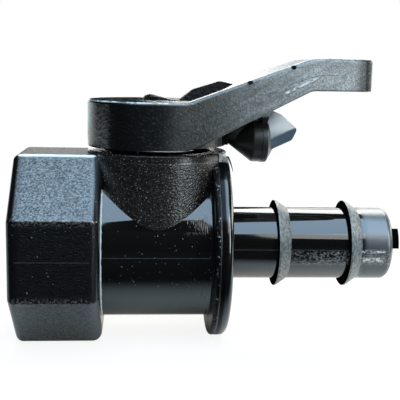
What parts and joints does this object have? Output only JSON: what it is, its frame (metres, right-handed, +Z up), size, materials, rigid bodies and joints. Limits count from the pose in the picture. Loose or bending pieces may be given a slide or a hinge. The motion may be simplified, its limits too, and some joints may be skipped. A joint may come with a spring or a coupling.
{
  "type": "mini ball valve",
  "caption": "Quarter-turn ball valve moulded in black plastic, with an octagonal female-threaded inlet socket, a cranked lever handle and a straight barbed hose tail.",
  "frame": {"origin": "centre of the inlet socket's mouth face, on the pipe's axis", "axes": "+X along the pipe from the inlet socket to the hose tail, +Z up the stem to the lever; in the open position the lever points along +X"},
  "size_m": [0.0645, 0.0318, 0.0478],
  "materials": {
    "body_plastic": "moulded, satin to glossy",
    "tail_plastic": "moulded, glossy",
    "handle_plastic": "moulded, matte",
    "stem_plastic": "moulded, satin",
    "ball_plastic": "moulded, polished",
    "seat_plastic": "moulded, smooth",
    "seal_rubber": "smooth rubber"
  },
  "bodies": {
    "valve_body": {"body": "body_plastic", "hose_tail": "tail_plastic", "inlet_seat": "seat_plastic", "outlet_seat": "seat_plastic", "inlet_gasket": "seal_rubber"},
    "turning_set": {"handle": "handle_plastic", "stem": "stem_plastic", "ball": "ball_plastic", "stem_oring_lower": "seal_rubber", "stem_oring_upper": "seal_rubber"}
  },
  "joints": [
    {"name": "quarter_turn", "type": "hinge", "parent": "valve_body", "child": "turning_set", "pos_m": [0.0232, 0, 0], "axis": [0, 0, -1], "range_deg": [0, 90]}
  ]
}
